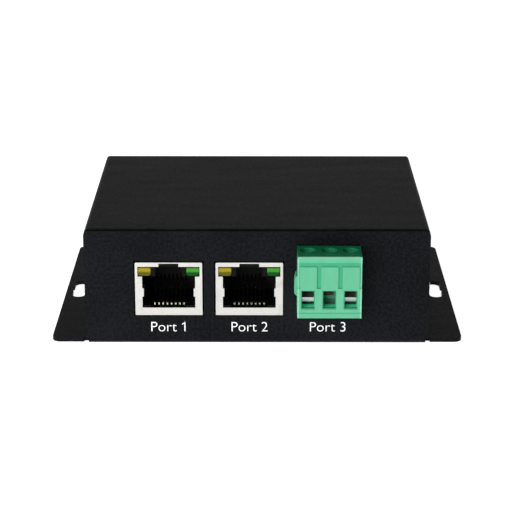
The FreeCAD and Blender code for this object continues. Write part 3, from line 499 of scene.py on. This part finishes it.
def sintered_ferrite():
    """Dark ground ferrite with fine pits."""
    recipe = Recipe("ferrite_core")
    pits = recipe.smooth(recipe.cells(0.3 * mm), 0.22, 0.1)
    cloud = recipe.noise(3 * mm, 3.0)
    base = recipe.mixed(cloud, dark_ferrite, (0.05, 0.048, 0.047))
    return recipe.finish(base, recipe.clamped(0.5 + 0.2 * pits), normal=recipe.bump(1 - pits, 0.01 * mm))


def wound_spool():
    """The transformer's spool: black flanges, amber tape over the winding and tinned pins."""
    recipe = Recipe("wound_spool")
    _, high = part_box("transformer_bobbin")
    _, _, z = recipe.axes()
    tape_low = board_high.z + 5.9 * mm
    tape_high = high.z - 1.1 * mm
    taped = (z > tape_low) * (z < tape_high)
    pin = z < board_high.z - 0.05 * mm
    lap = recipe.noise(0.5 * mm, 1.0, recipe.stretched((0.05, 0.05, 1.0)))
    tape = recipe.mixed(lap, (0.40, 0.24, 0.03), (0.55, 0.36, 0.06))
    spool = recipe.mixed(taped, (0.016, 0.016, 0.017), tape)
    base = recipe.mixed(pin, spool, bright_metal)
    roughness = recipe.clamped(0.5 - 0.22 * taped - 0.15 * pin + 0.05 * lap)
    return recipe.finish(base, roughness, pin, recipe.bump(lap, 0.03 * mm))


def drum_winding(sizes):
    """A drum choke: ferrite flanges with rows of lacquered copper wire between them."""
    recipe = Recipe("drum_winding")
    low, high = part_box("output_choke")
    _, _, z = recipe.axes()
    wound = (z > low.z + 1.85 * mm) * (z < high.z - 1.25 * mm)
    wire = 0.42 * mm
    rows = abs(recipe.wave(z, 2 * wire))
    grain = recipe.noise(0.3 * mm, 2.0)
    flange = recipe.mixed(grain, dark_ferrite, (0.045, 0.043, 0.042))
    base = recipe.mixed(wound, flange, sizes.copper)
    roughness = recipe.clamped(0.6 - 0.3 * wound + 0.1 * grain)
    normal = recipe.bump(rows * wound + 0.05 * grain, 0.12 * mm)
    return recipe.finish(base, roughness, wound * 0.8, normal)


def sleeved_can(node):
    """An electrolytic can: a dark shrunk sleeve with a bare scored top."""
    recipe = Recipe(node + "_sleeve")
    _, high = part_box(node)
    _, _, z = recipe.axes()
    bare = z > high.z - 0.15 * mm
    shrink = recipe.noise(0.8 * mm, 2.0, recipe.stretched((1.0, 1.0, 0.15)))
    sleeve = recipe.mixed(shrink, (0.012, 0.014, 0.03), (0.02, 0.024, 0.05))
    base = recipe.mixed(bare, sleeve, bright_metal)
    return recipe.finish(base, recipe.clamped(0.26 + 0.12 * shrink), bare, recipe.bump(shrink, 0.02 * mm))


def print_ink(sizes):
    """White screen ink with a dry, slightly broken face."""
    recipe = Recipe("print_ink")
    mesh = recipe.noise(0.14 * mm, 2.0)
    base = recipe.mixed(recipe.smooth(mesh, 0.25, 0.5), scaled(sizes.ink, 0.8), sizes.ink)
    return recipe.finish(base, recipe.clamped(0.5 + 0.2 * mesh), normal=recipe.bump(mesh, 0.004 * mm))


def solder_joint(sizes):
    """Bright solder with a frosty skin."""
    recipe = Recipe("solder")
    frost = recipe.noise(0.2 * mm, 3.0)
    base = recipe.mixed(frost, scaled(sizes.solder, 0.8), sizes.solder)
    return recipe.finish(base, recipe.clamped(0.22 + 0.25 * frost), 1.0, recipe.bump(frost, 0.006 * mm))


def pale_floor(sizes):
    """The studio's pale floor, which also gives a little light of its own."""
    recipe = Recipe("pale_floor")
    cloud = recipe.noise(0.4, 2.0)
    base = recipe.mixed(cloud, (0.90, 0.90, 0.90), (0.93, 0.93, 0.93))
    recipe.finish(base, recipe.clamped(0.7 + 0.1 * cloud))
    recipe.shader.inputs["Emission Color"].default_value = (1.0, 1.0, 1.0, 1.0)
    recipe.shader.inputs["Emission Strength"].default_value = sizes.floor_glow
    return recipe.material


def paint(material, *nodes):
    """Puts a finish on the frame's own pieces."""
    for node in nodes:
        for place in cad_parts[node].material_slots:
            place.material = material


# Mesh helpers

def added(name, data):
    """A new object at the origin that holds a mesh, a curve, a light or a camera."""
    piece = bpy.data.objects.new(name, data)
    bpy.context.scene.collection.objects.link(piece)
    return piece


def settled(piece):
    """Merges doubles and turns the faces outwards."""
    mesh = piece.data
    apart = 0.0005 * mm
    work = bmesh.new()
    work.from_mesh(mesh)
    bmesh.ops.remove_doubles(work, verts=work.verts, dist=apart)
    bmesh.ops.recalc_face_normals(work, faces=work.faces)
    work.to_mesh(mesh)
    work.free()
    mesh.update()
    return piece


def written(word, cap_height, thickness):
    """A word as a solid mesh that stands on z = 0, centred on x = 0, with its back at y = 0."""
    relief = 0.5
    thinner = -0.012
    curve = bpy.data.curves.new(word, "FONT")
    curve.body = word
    curve.align_x = "CENTER"
    curve.size = 1.0
    curve.extrude = relief
    curve.offset = thinner
    curve.resolution_u = 5
    mesh = frozen(added(word, curve))
    capital = max(vertex.co.y for vertex in mesh.vertices)
    scale = cap_height / capital
    for vertex in mesh.vertices:
        x, up, out = vertex.co
        vertex.co = (x * scale, (-relief - out) * thickness, up * scale)
    if word.endswith("1"):
        add_flag(mesh, cap_height, thickness)
    return mesh


def add_flag(mesh, cap_height, thickness):
    """Adds the slanted stroke at the top of a last figure one, which the plain font leaves out."""
    right = max(vertex.co.x for vertex in mesh.vertices)
    widest_bar = 0.3 * cap_height
    left = min(vertex.co.x for vertex in mesh.vertices if vertex.co.x > right - widest_bar)
    stroke = right - left
    root = (left + right) / 2
    tip = left - 0.22 * cap_height
    tip_height = 0.80 * cap_height
    line = [(root, cap_height), (tip, tip_height)]
    corners = line + [(x, z - stroke) for x, z in reversed(line)]
    work = bmesh.new()
    work.from_mesh(mesh)
    back = [work.verts.new((x, 0, z)) for x, z in corners]
    front = [work.verts.new((x, -thickness, z)) for x, z in corners]
    work.faces.new(back)
    work.faces.new(front)
    for i in range(4):
        work.faces.new((back[i], back[(i + 1) % 4], front[(i + 1) % 4], front[i]))
    work.to_mesh(mesh)
    work.free()


def lathe(name, profile, steps):
    """A closed mesh turned about Z from radius and height pairs that start and end on the axis."""
    work = bmesh.new()
    rings = []
    for radius, z in profile:
        turns = [2 * math.pi * i / steps for i in range(steps)] if radius > 0 else [0]
        rings.append([work.verts.new((radius * math.cos(t), radius * math.sin(t), z)) for t in turns])
    for below, above in zip(rings, rings[1:]):
        for i in range(steps):
            corners = [below[i % len(below)], below[(i + 1) % len(below)]]
            corners += [above[(i + 1) % len(above)], above[i % len(above)]]
            work.faces.new(dict.fromkeys(corners))
    bmesh.ops.recalc_face_normals(work, faces=work.faces)
    mesh = bpy.data.meshes.new(name)
    work.to_mesh(mesh)
    work.free()
    return mesh


def block(name, low, high):
    """A closed box between two corners."""
    work = bmesh.new()
    bmesh.ops.create_cube(work, size=1.0)
    middle = (Vector(low) + Vector(high)) / 2
    size = Vector(high) - Vector(low)
    for vertex in work.verts:
        vertex.co = middle + Vector(a * b for a, b in zip(vertex.co, size))
    mesh = bpy.data.meshes.new(name)
    work.to_mesh(mesh)
    work.free()
    return mesh


def lamp_lens(name, low, high, sizes):
    """A lamp's lens: a block with round lower corners, softer upper ones and a round front edge."""
    top = Vector((high.x, high.y, high.z - sizes.lamp_gap))
    mesh = block(name, low, top)
    apart = 0.01 * mm
    work = bmesh.new()
    work.from_mesh(mesh)

    def rounded(edges, radius, steps):
        bmesh.ops.bevel(work, geom=edges, offset=radius, segments=steps, affect="EDGES", profile=0.5)

    for height, radius in ((low.z, sizes.lamp_corner), (top.z, 0.5 * sizes.lamp_corner)):
        level = [edge for edge in work.edges if all(abs(v.co.z - height) < apart for v in edge.verts)]
        rounded([edge for edge in level if abs(edge.verts[0].co.x - edge.verts[1].co.x) < apart], radius, 6)
    front = [edge for edge in work.edges if all(v.co.y < low.y + apart for v in edge.verts)]
    rounded(front, sizes.lamp_edge, 4)
    work.to_mesh(mesh)
    work.free()
    return mesh


def frozen(holder):
    """The evaluated mesh of an object, which is then deleted."""
    bpy.context.view_layer.update()
    graph = bpy.context.evaluated_depsgraph_get()
    mesh = bpy.data.meshes.new_from_object(holder.evaluated_get(graph))
    bpy.data.objects.remove(holder)
    return mesh


def stands_for(piece, node):
    """Puts a piece of the case in its node's place."""
    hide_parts(node)
    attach(piece, "case")


# Geometry Nodes

class Plan(Nodes):
    """A Geometry Nodes tree with named lengths. It puts copies of one form on the points it is given."""

    def __init__(self, name, lengths):
        self.tree = bpy.data.node_groups.new(name, "GeometryNodeTree")
        sockets = self.tree.interface
        sockets.new_socket("Geometry", in_out="OUTPUT", socket_type="NodeSocketGeometry")
        sockets.new_socket("Points", in_out="INPUT", socket_type="NodeSocketGeometry")
        for key in lengths:
            sockets.new_socket(key, in_out="INPUT", socket_type="NodeSocketFloat")
        self.lengths = lengths
        self.entry = self.placed("NodeGroupInput", {}, {})
        self.exit = self.placed("NodeGroupOutput", {}, {})

    def given(self, key):
        """One of the tree's named inputs."""
        return Wire(self, self.entry.outputs[key])

    def vector(self, x, y, z):
        """A vector from its three numbers."""
        return self.node("ShaderNodeCombineXYZ", {}, {"X": x, "Y": y, "Z": z})

    def joined(self, forms):
        """Several forms as one."""
        made = self.placed("GeometryNodeJoinGeometry", {}, {})
        for form in forms:
            self.feed(made.inputs[0], form)
        return Wire(self, made.outputs[0])

    def carried(self, name, kind):
        """A value that each point carries."""
        return self.node("GeometryNodeInputNamedAttribute", {"data_type": kind}, {"Name": name})

    def finish(self, form, material):
        """Copies the form to the points, each with its own angles and scale, and gives it a finish."""
        rotation = self.node("FunctionNodeEulerToRotation", {}, {0: self.carried("turn", "FLOAT_VECTOR")})
        inputs = {
            "Points": self.given("Points"),
            "Instance": form,
            "Rotation": rotation,
            "Scale": self.carried("scale", "FLOAT"),
        }
        copies = self.node("GeometryNodeInstanceOnPoints", {}, inputs)
        real = self.node("GeometryNodeRealizeInstances", {}, {0: copies})
        result = self.node("GeometryNodeSetMaterial", {}, {"Geometry": real, "Material": material})
        self.feed(self.exit.inputs[0], result)

    def grown(self, name, places):
        """The tree's result as a finished piece, for points given as a place, its angles and its scale."""
        mesh = bpy.data.meshes.new(name)
        mesh.from_pydata([place for place, _, _ in places], [], [])
        turn = mesh.attributes.new("turn", "FLOAT_VECTOR", "POINT")
        for item, (_, angles, _) in zip(turn.data, places):
            item.vector = angles
        scale = mesh.attributes.new("scale", "FLOAT", "POINT")
        for item, (_, _, factor) in zip(scale.data, places):
            item.value = factor
        holder = added(name, mesh)
        modifier = holder.modifiers.new(name, "NODES")
        modifier.node_group = self.tree
        for item in self.tree.interface.items_tree:
            if item.name in self.lengths:
                modifier[item.identifier] = self.lengths[item.name]
        return settled(added(name, frozen(holder)))


# A screw's thread is a thin rod wound round its core, and it ends a margin from the head and the tip.
thread_ridge = 0.2 * mm
thread_margin = 0.25 * mm


def screw_blank(sizes, shank):
    """A domed cross-head screw without its thread: its head stands on z = 0."""
    core = sizes.thread_radius - thread_ridge
    bevel = 0.3 * mm
    rim = 0.45 * mm
    cross_reach = 1.6 * mm
    cross_depth = 0.95 * mm
    angles = [math.radians(degrees) for degrees in range(0, 90, 10)]
    profile = [(0, -shank), (core - bevel, -shank), (core, -shank + bevel), (core, 0)]
    profile.append((sizes.head_radius, 0))
    for a in angles:
        profile.append((sizes.head_radius * math.cos(a), rim + (sizes.head_height - rim) * math.sin(a)))
    profile.append((0, sizes.head_height))
    holder = added("screw_blank", lathe("screw_blank", profile, 32))
    half = sizes.cross_width / 2
    floor = sizes.head_height - cross_depth
    arms = []
    for x, y in ((cross_reach, half), (half, cross_reach)):
        arm = added("cross_arm", block("cross_arm", (-x, -y, floor), (x, y, sizes.head_height + mm)))
        cut = holder.modifiers.new("cross_arm", "BOOLEAN")
        cut.operation = "DIFFERENCE"
        cut.solver = "EXACT"
        cut.object = arm
        arms.append(arm)
    mesh = frozen(holder)
    for arm in arms:
        bpy.data.objects.remove(arm)
    return added("screw_blank", mesh)


def pan_head_screws(name, sizes, shank, places, material):
    """Cross-head screws with a rolled thread, one for each place."""
    blank = screw_blank(sizes, shank)
    lengths = {
        "Thread radius": sizes.thread_radius,
        "Thread pitch": sizes.thread_pitch,
        "Thread run": shank - 2 * thread_margin,
    }
    plan = Plan(name + "_plan", lengths)
    core = plan.given("Thread radius") - thread_ridge
    run = plan.given("Thread run")
    turns = {
        "Resolution": 20,
        "Rotations": run / plan.given("Thread pitch"),
        "Start Radius": core,
        "End Radius": core,
        "Height": run,
    }
    spiral = plan.node("GeometryNodeCurveSpiral", {}, turns)
    ridge = plan.node("GeometryNodeCurvePrimitiveCircle", {}, {"Resolution": 4, "Radius": thread_ridge})
    sweep = {"Curve": spiral, "Profile Curve": ridge, "Fill Caps": True}
    thread = plan.node("GeometryNodeCurveToMesh", {}, sweep)
    below_head = plan.vector(0.0, 0.0, 0.0 - run - thread_margin)
    lowered = plan.node("GeometryNodeTransform", {}, {"Geometry": thread, "Translation": below_head})
    body = plan.node("GeometryNodeObjectInfo", {}, {"Object": blank}, "Geometry")
    plan.finish(plan.joined([body, lowered]), material)
    screws = plan.grown(name, places)
    bpy.data.objects.remove(blank)
    return screws


def row_ends(low, high, sizes):
    """Where the first and last screw of a row are along Y."""
    return low.y + sizes.head_radius, high.y - sizes.head_radius


def pin_tails(node):
    """The middle and width of every pin that comes out below the board, from the node's lowest points."""
    low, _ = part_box(node)
    lowest = 0.02 * mm
    pin_apart = 1.5 * mm
    pins = []
    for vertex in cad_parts[node].data.vertices:
        if vertex.co.z > low.z + lowest:
            continue
        near = [pin for pin in pins if (pin[0] - vertex.co).length < pin_apart]
        if near:
            near[0].append(vertex.co.copy())
        else:
            pins.append([vertex.co.copy()])
    tails = []
    for pin in pins:
        xs = [point.x for point in pin]
        ys = [point.y for point in pin]
        tails.append(((min(xs) + max(xs)) / 2, (min(ys) + max(ys)) / 2, max(xs) - min(xs)))
    return tails


def solder_joints(name, sizes, nodes, material):
    """Solder drawn up each pin below the board, with a hollow flank. A wide pin gets a larger joint."""
    plan = Plan(name + "_plan", {"Joint radius": sizes.joint_radius, "Joint height": sizes.joint_height})
    foot = plan.given("Joint radius")
    rise = plan.given("Joint height")
    cone = {
        "Vertices": 14,
        "Side Segments": 5,
        "Radius Top": foot,
        "Radius Bottom": foot * 0.5,
        "Depth": rise,
    }
    form = plan.node("GeometryNodeMeshCone", {}, cone)
    x, y, z = plan.parts(plan.node("GeometryNodeInputPosition", {}, {}))
    waist = 1 - 0.22 * plan.maths("SINE", z * math.pi / rise)
    flank = plan.vector(x * waist, y * waist, z - rise)
    plan.finish(plan.node("GeometryNodeSetPosition", {}, {"Geometry": form, "Position": flank}), material)
    plain_pin = 0.65 * mm
    tails = [tail for node in nodes for tail in pin_tails(node)]
    places = [((x, y, board_low.z), (0, 0, 0), max(1, width / plain_pin)) for x, y, width in tails]
    return plan.grown(name, places)


# Studio

def studio_floor(sizes):
    """A square floor just below the object."""
    half = sizes.floor / 2
    z = cad_low.z - 0.05 * mm
    corners = [(-half, -half, z), (half, -half, z), (half, half, z), (-half, half, z)]
    mesh = bpy.data.meshes.new("floor")
    mesh.from_pydata(corners, [], [(0, 1, 2, 3)])
    mesh.materials.append(pale_floor(sizes))
    return added("floor", mesh)


def soft_light(name, place, side, power):
    """A square soft light that faces the object, with its place and side in metres."""
    data = bpy.data.lights.new(name, "AREA")
    data.size = side
    data.energy = power
    light = added(name, data)
    light.location = place
    light.rotation_mode = "QUATERNION"
    aim = (cad_low + cad_high) / 2
    light.rotation_quaternion = (aim - Vector(place)).to_track_quat("-Z", "Y")


def pale_room(sizes):
    """A white room all round."""
    world = bpy.data.worlds.new("room")
    world.use_nodes = True
    room = world.node_tree.nodes["Background"]
    room.inputs["Color"].default_value = (1.0, 1.0, 1.0, 1.0)
    room.inputs["Strength"].default_value = sizes.room
    return world


def studio_camera(sizes):
    """The camera at the photograph's place."""
    data = bpy.data.cameras.new("camera")
    data.sensor_width = 36
    data.lens = sizes.lens
    data.clip_start = 0.01
    camera = added("camera", data)
    camera.location = sizes.camera
    camera.rotation_euler = (math.pi / 2 - sizes.pitch, 0, sizes.yaw)
    return camera


# Operators

class SPLITTER_OT_case(bpy.types.Operator):
    """Finish the folded case and its screws"""

    bl_idname = "splitter.case"
    bl_label = "Case"

    def execute(self, context):
        sizes = context.scene.splitter_case
        paint(powder_coat(sizes), "base_chassis", "top_cover")
        plated = zinc_plate("screw_zinc", sizes.plating)
        paint(plated, "cover_screws", "board_screws", "board_standoffs")
        low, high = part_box("cover_screws")
        ys = row_ends(low, high, sizes)
        across = high.x - sizes.head_height
        middle = (low.z + high.z) / 2
        places = []
        for side in (-1, 1):
            outwards = (0, side * math.pi / 2, 0)
            places += [((side * across, y, middle), outwards, 1) for y in ys]
        screws = pan_head_screws("cover_pan_screws", sizes, sizes.cover_screw_length, places, plated)
        stands_for(screws, "cover_screws")
        low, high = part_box("board_screws")
        ys = row_ends(low, high, sizes)
        across = high.x - sizes.head_radius
        spots = [(x, y, board_high.z) for x in (-across, across) for y in ys]
        twist = 0.4
        places = [(spot, (0, 0, twist * number), 1) for number, spot in enumerate(spots)]
        screws = pan_head_screws("board_pan_screws", sizes, sizes.board_screw_length, places, plated)
        stands_for(screws, "board_screws")
        return {"FINISHED"}


class SPLITTER_OT_sockets(bpy.types.Operator):
    """Finish both network sockets: shields, mouldings, contacts and lamps"""

    bl_idname = "splitter.sockets"
    bl_label = "Sockets"

    def execute(self, context):
        sizes = context.scene.splitter_socket
        finishes = {
            "shield": tin_plate(sizes),
            "insert": black_moulding(sizes),
            "contacts": gold_plate(sizes),
            "led_yellow": lamp_resin("yellow_resin", sizes.yellow, sizes.olive),
            "led_green": lamp_resin("green_resin", sizes.green, sizes.pine),
        }
        for socket in ("jack_in", "jack_out"):
            for piece, material in finishes.items():
                node = f"{socket}_{piece}"
                paint(material, node)
                if piece.startswith("led"):
                    name = node + "_lens"
                    lens = settled(added(name, lamp_lens(name, *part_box(node), sizes)))
                    lens.data.materials.append(material)
                    stands_for(lens, node)
        return {"FINISHED"}


class SPLITTER_OT_terminal(bpy.types.Operator):
    """Finish the screw terminal: header, plug, clamps and springs"""

    bl_idname = "splitter.terminal"
    bl_label = "Screw terminal"

    def execute(self, context):
        sizes = context.scene.splitter_terminal
        paint(green_moulding(sizes), "terminal_header", "terminal_plug")
        nickel = zinc_plate("nickel_plate", sizes.nickel)
        paint(nickel, "header_pins")
        # Painted shade: the springs get the near-black bronze that stands for shadow inside the plug.
        paint(zinc_plate("spring_bronze", sizes.bronze), "plug_springs")
        for number in (1, 2, 3):
            paint(nickel, f"clamp_screw_{number}", f"clamp_cage_{number}")
        return {"FINISHED"}


class SPLITTER_OT_board(bpy.types.Operator):
    """Finish the circuit board, the film below it and the parts on it"""

    bl_idname = "splitter.board"
    bl_label = "Board and its parts"

    def execute(self, context):
        sizes = context.scene.splitter_board
        paint(solder_mask(sizes), "main_board")
        paint(polyester_film(), "insulating_sheet")
        lead_reach = 1.3 * mm
        for node in ("data_magnetics", "bridge_rectifiers", "controller_chip"):
            paint(chip_body(node, lead_reach), node)
        paint(sintered_ferrite(), "transformer_core")
        paint(wound_spool(), "transformer_bobbin")
        paint(drum_winding(sizes), "output_choke")
        for node in ("input_capacitor", "output_capacitors"):
            paint(sleeved_can(node), node)
        pinned = ("jack_in_contacts", "jack_out_contacts", "header_pins", "transformer_bobbin")
        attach(solder_joints("solder_joints", sizes, pinned, solder_joint(sizes)), "case")
        return {"FINISHED"}


class SPLITTER_OT_labels(bpy.types.Operator):
    """Print a plain name below each socket and below the screw terminal"""

    bl_idname = "splitter.labels"
    bl_label = "Port labels"

    def execute(self, context):
        sizes = context.scene.splitter_label
        ink = print_ink(sizes)
        words = sizes.words.split(",")
        centres = [
            (socket_in_low.x + socket_in_high.x) / 2,
            (socket_out_low.x + socket_out_high.x) / 2,
            plug_middle,
        ]
        if len(words) != len(centres):
            raise ValueError("give one word for each of the three places")
        foot = socket_in_low.z - sizes.drop
        for number, (word, x) in enumerate(zip(words, centres), 1):
            mesh = written(word, sizes.cap_height, sizes.thickness)
            for vertex in mesh.vertices:
                vertex.co += Vector((x, panel_y, foot))
            label = settled(added(f"port_label_{number}", mesh))
            label.data.materials.append(ink)
            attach(label, "case")
        return {"FINISHED"}


class SPLITTER_OT_stage(bpy.types.Operator):
    """Set the floor, the lights and the camera"""

    bl_idname = "splitter.stage"
    bl_label = "Studio"

    def execute(self, context):
        sizes = context.scene.splitter_studio
        studio_floor(sizes)
        soft_light("key_light", (-0.42, -0.86, 0.17), 0.7, sizes.key)
        soft_light("fill_light", (0.15, -0.1, 1.1), 0.8, sizes.fill)
        soft_light("rear_light", (0.0, 1.1, 0.42), 0.9, sizes.rear)
        context.scene.world = pale_room(sizes)
        context.scene.view_settings.view_transform = "Standard"
        context.scene.camera = studio_camera(sizes)
        return {"FINISHED"}


class SPLITTER_PT_panel(bpy.types.Panel):
    """Every step of the splitter, with its sizes and colours"""

    bl_idname = "SPLITTER_PT_panel"
    bl_label = "Power splitter"
    bl_space_type = "VIEW_3D"
    bl_region_type = "UI"
    bl_category = "Splitter"

    def draw(self, context):
        for operator, group in steps:
            section = self.layout.box()
            section.operator(operator.bl_idname)
            values = getattr(context.scene, group)
            for key in values.__annotations__:
                section.prop(values, key)


groups = {
    "splitter_case": CaseFinish,
    "splitter_socket": SocketFinish,
    "splitter_terminal": TerminalFinish,
    "splitter_board": BoardFinish,
    "splitter_label": LabelSizes,
    "splitter_studio": StudioSizes,
}
steps = [
    (SPLITTER_OT_case, "splitter_case"),
    (SPLITTER_OT_sockets, "splitter_socket"),
    (SPLITTER_OT_terminal, "splitter_terminal"),
    (SPLITTER_OT_board, "splitter_board"),
    (SPLITTER_OT_labels, "splitter_label"),
    (SPLITTER_OT_stage, "splitter_studio"),
]


def register():
    for name, group in groups.items():
        bpy.utils.register_class(group)
        setattr(bpy.types.Scene, name, bpy.props.PointerProperty(type=group))
    for operator, _ in steps:
        bpy.utils.register_class(operator)
    bpy.utils.register_class(SPLITTER_PT_panel)


def unregister():
    bpy.utils.unregister_class(SPLITTER_PT_panel)
    for operator, _ in reversed(steps):
        bpy.utils.unregister_class(operator)
    for name, group in groups.items():
        delattr(bpy.types.Scene, name)
        bpy.utils.unregister_class(group)


def main():
    register()
    for operator, _ in steps:
        action = operator.bl_idname.split(".")[1]
        getattr(bpy.ops.splitter, action)()


if __name__ == "__main__":
    main()
